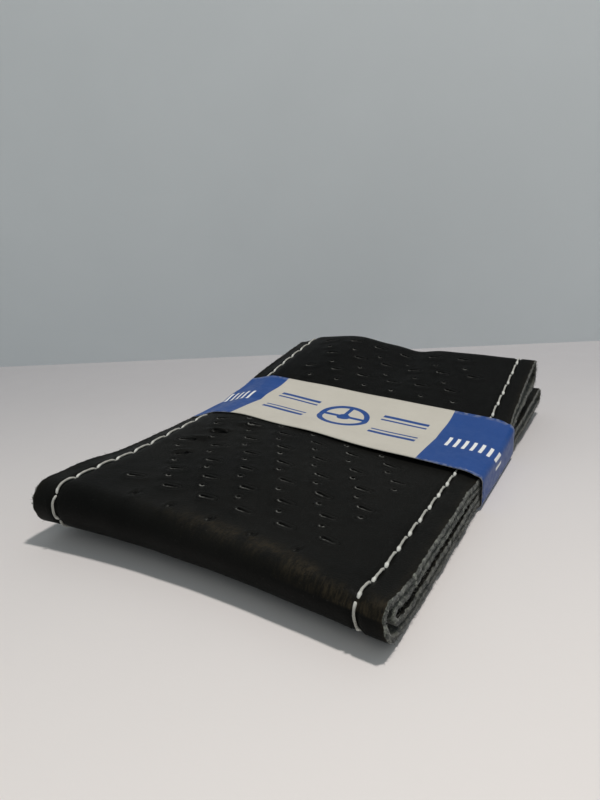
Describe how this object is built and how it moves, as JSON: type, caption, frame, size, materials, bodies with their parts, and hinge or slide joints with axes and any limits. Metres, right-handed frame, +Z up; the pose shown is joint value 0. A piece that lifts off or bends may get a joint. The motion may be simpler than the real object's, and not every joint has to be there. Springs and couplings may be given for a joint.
{
  "type": "steering wheel cover",
  "caption": "Sew-on leather steering wheel cover: a closed perforated strip with a stitched thread along both edges, folded flat and held by a paper band.",
  "frame": {"origin": "centre of the bounding box on the table that the bundle lies on", "axes": "+X across the strip to the tightly pressed edge, +Y along the bundle away from the big outer fold, +Z up"},
  "size_m": [0.0978, 0.1458, 0.0252],
  "materials": {
    "leather": "smooth black grain outside, grey fibrous underside",
    "thread": "waxed off-white thread",
    "dark_thread": "black thread",
    "paper": "coated printed paper, soft sheen"
  },
  "bodies": {
    "root": {"leather_strip": "leather", "edge_thread_right": "thread", "edge_thread_left": "thread", "lacing_thread": "dark_thread", "paper_band": "paper"}
  },
  "joints": []
}
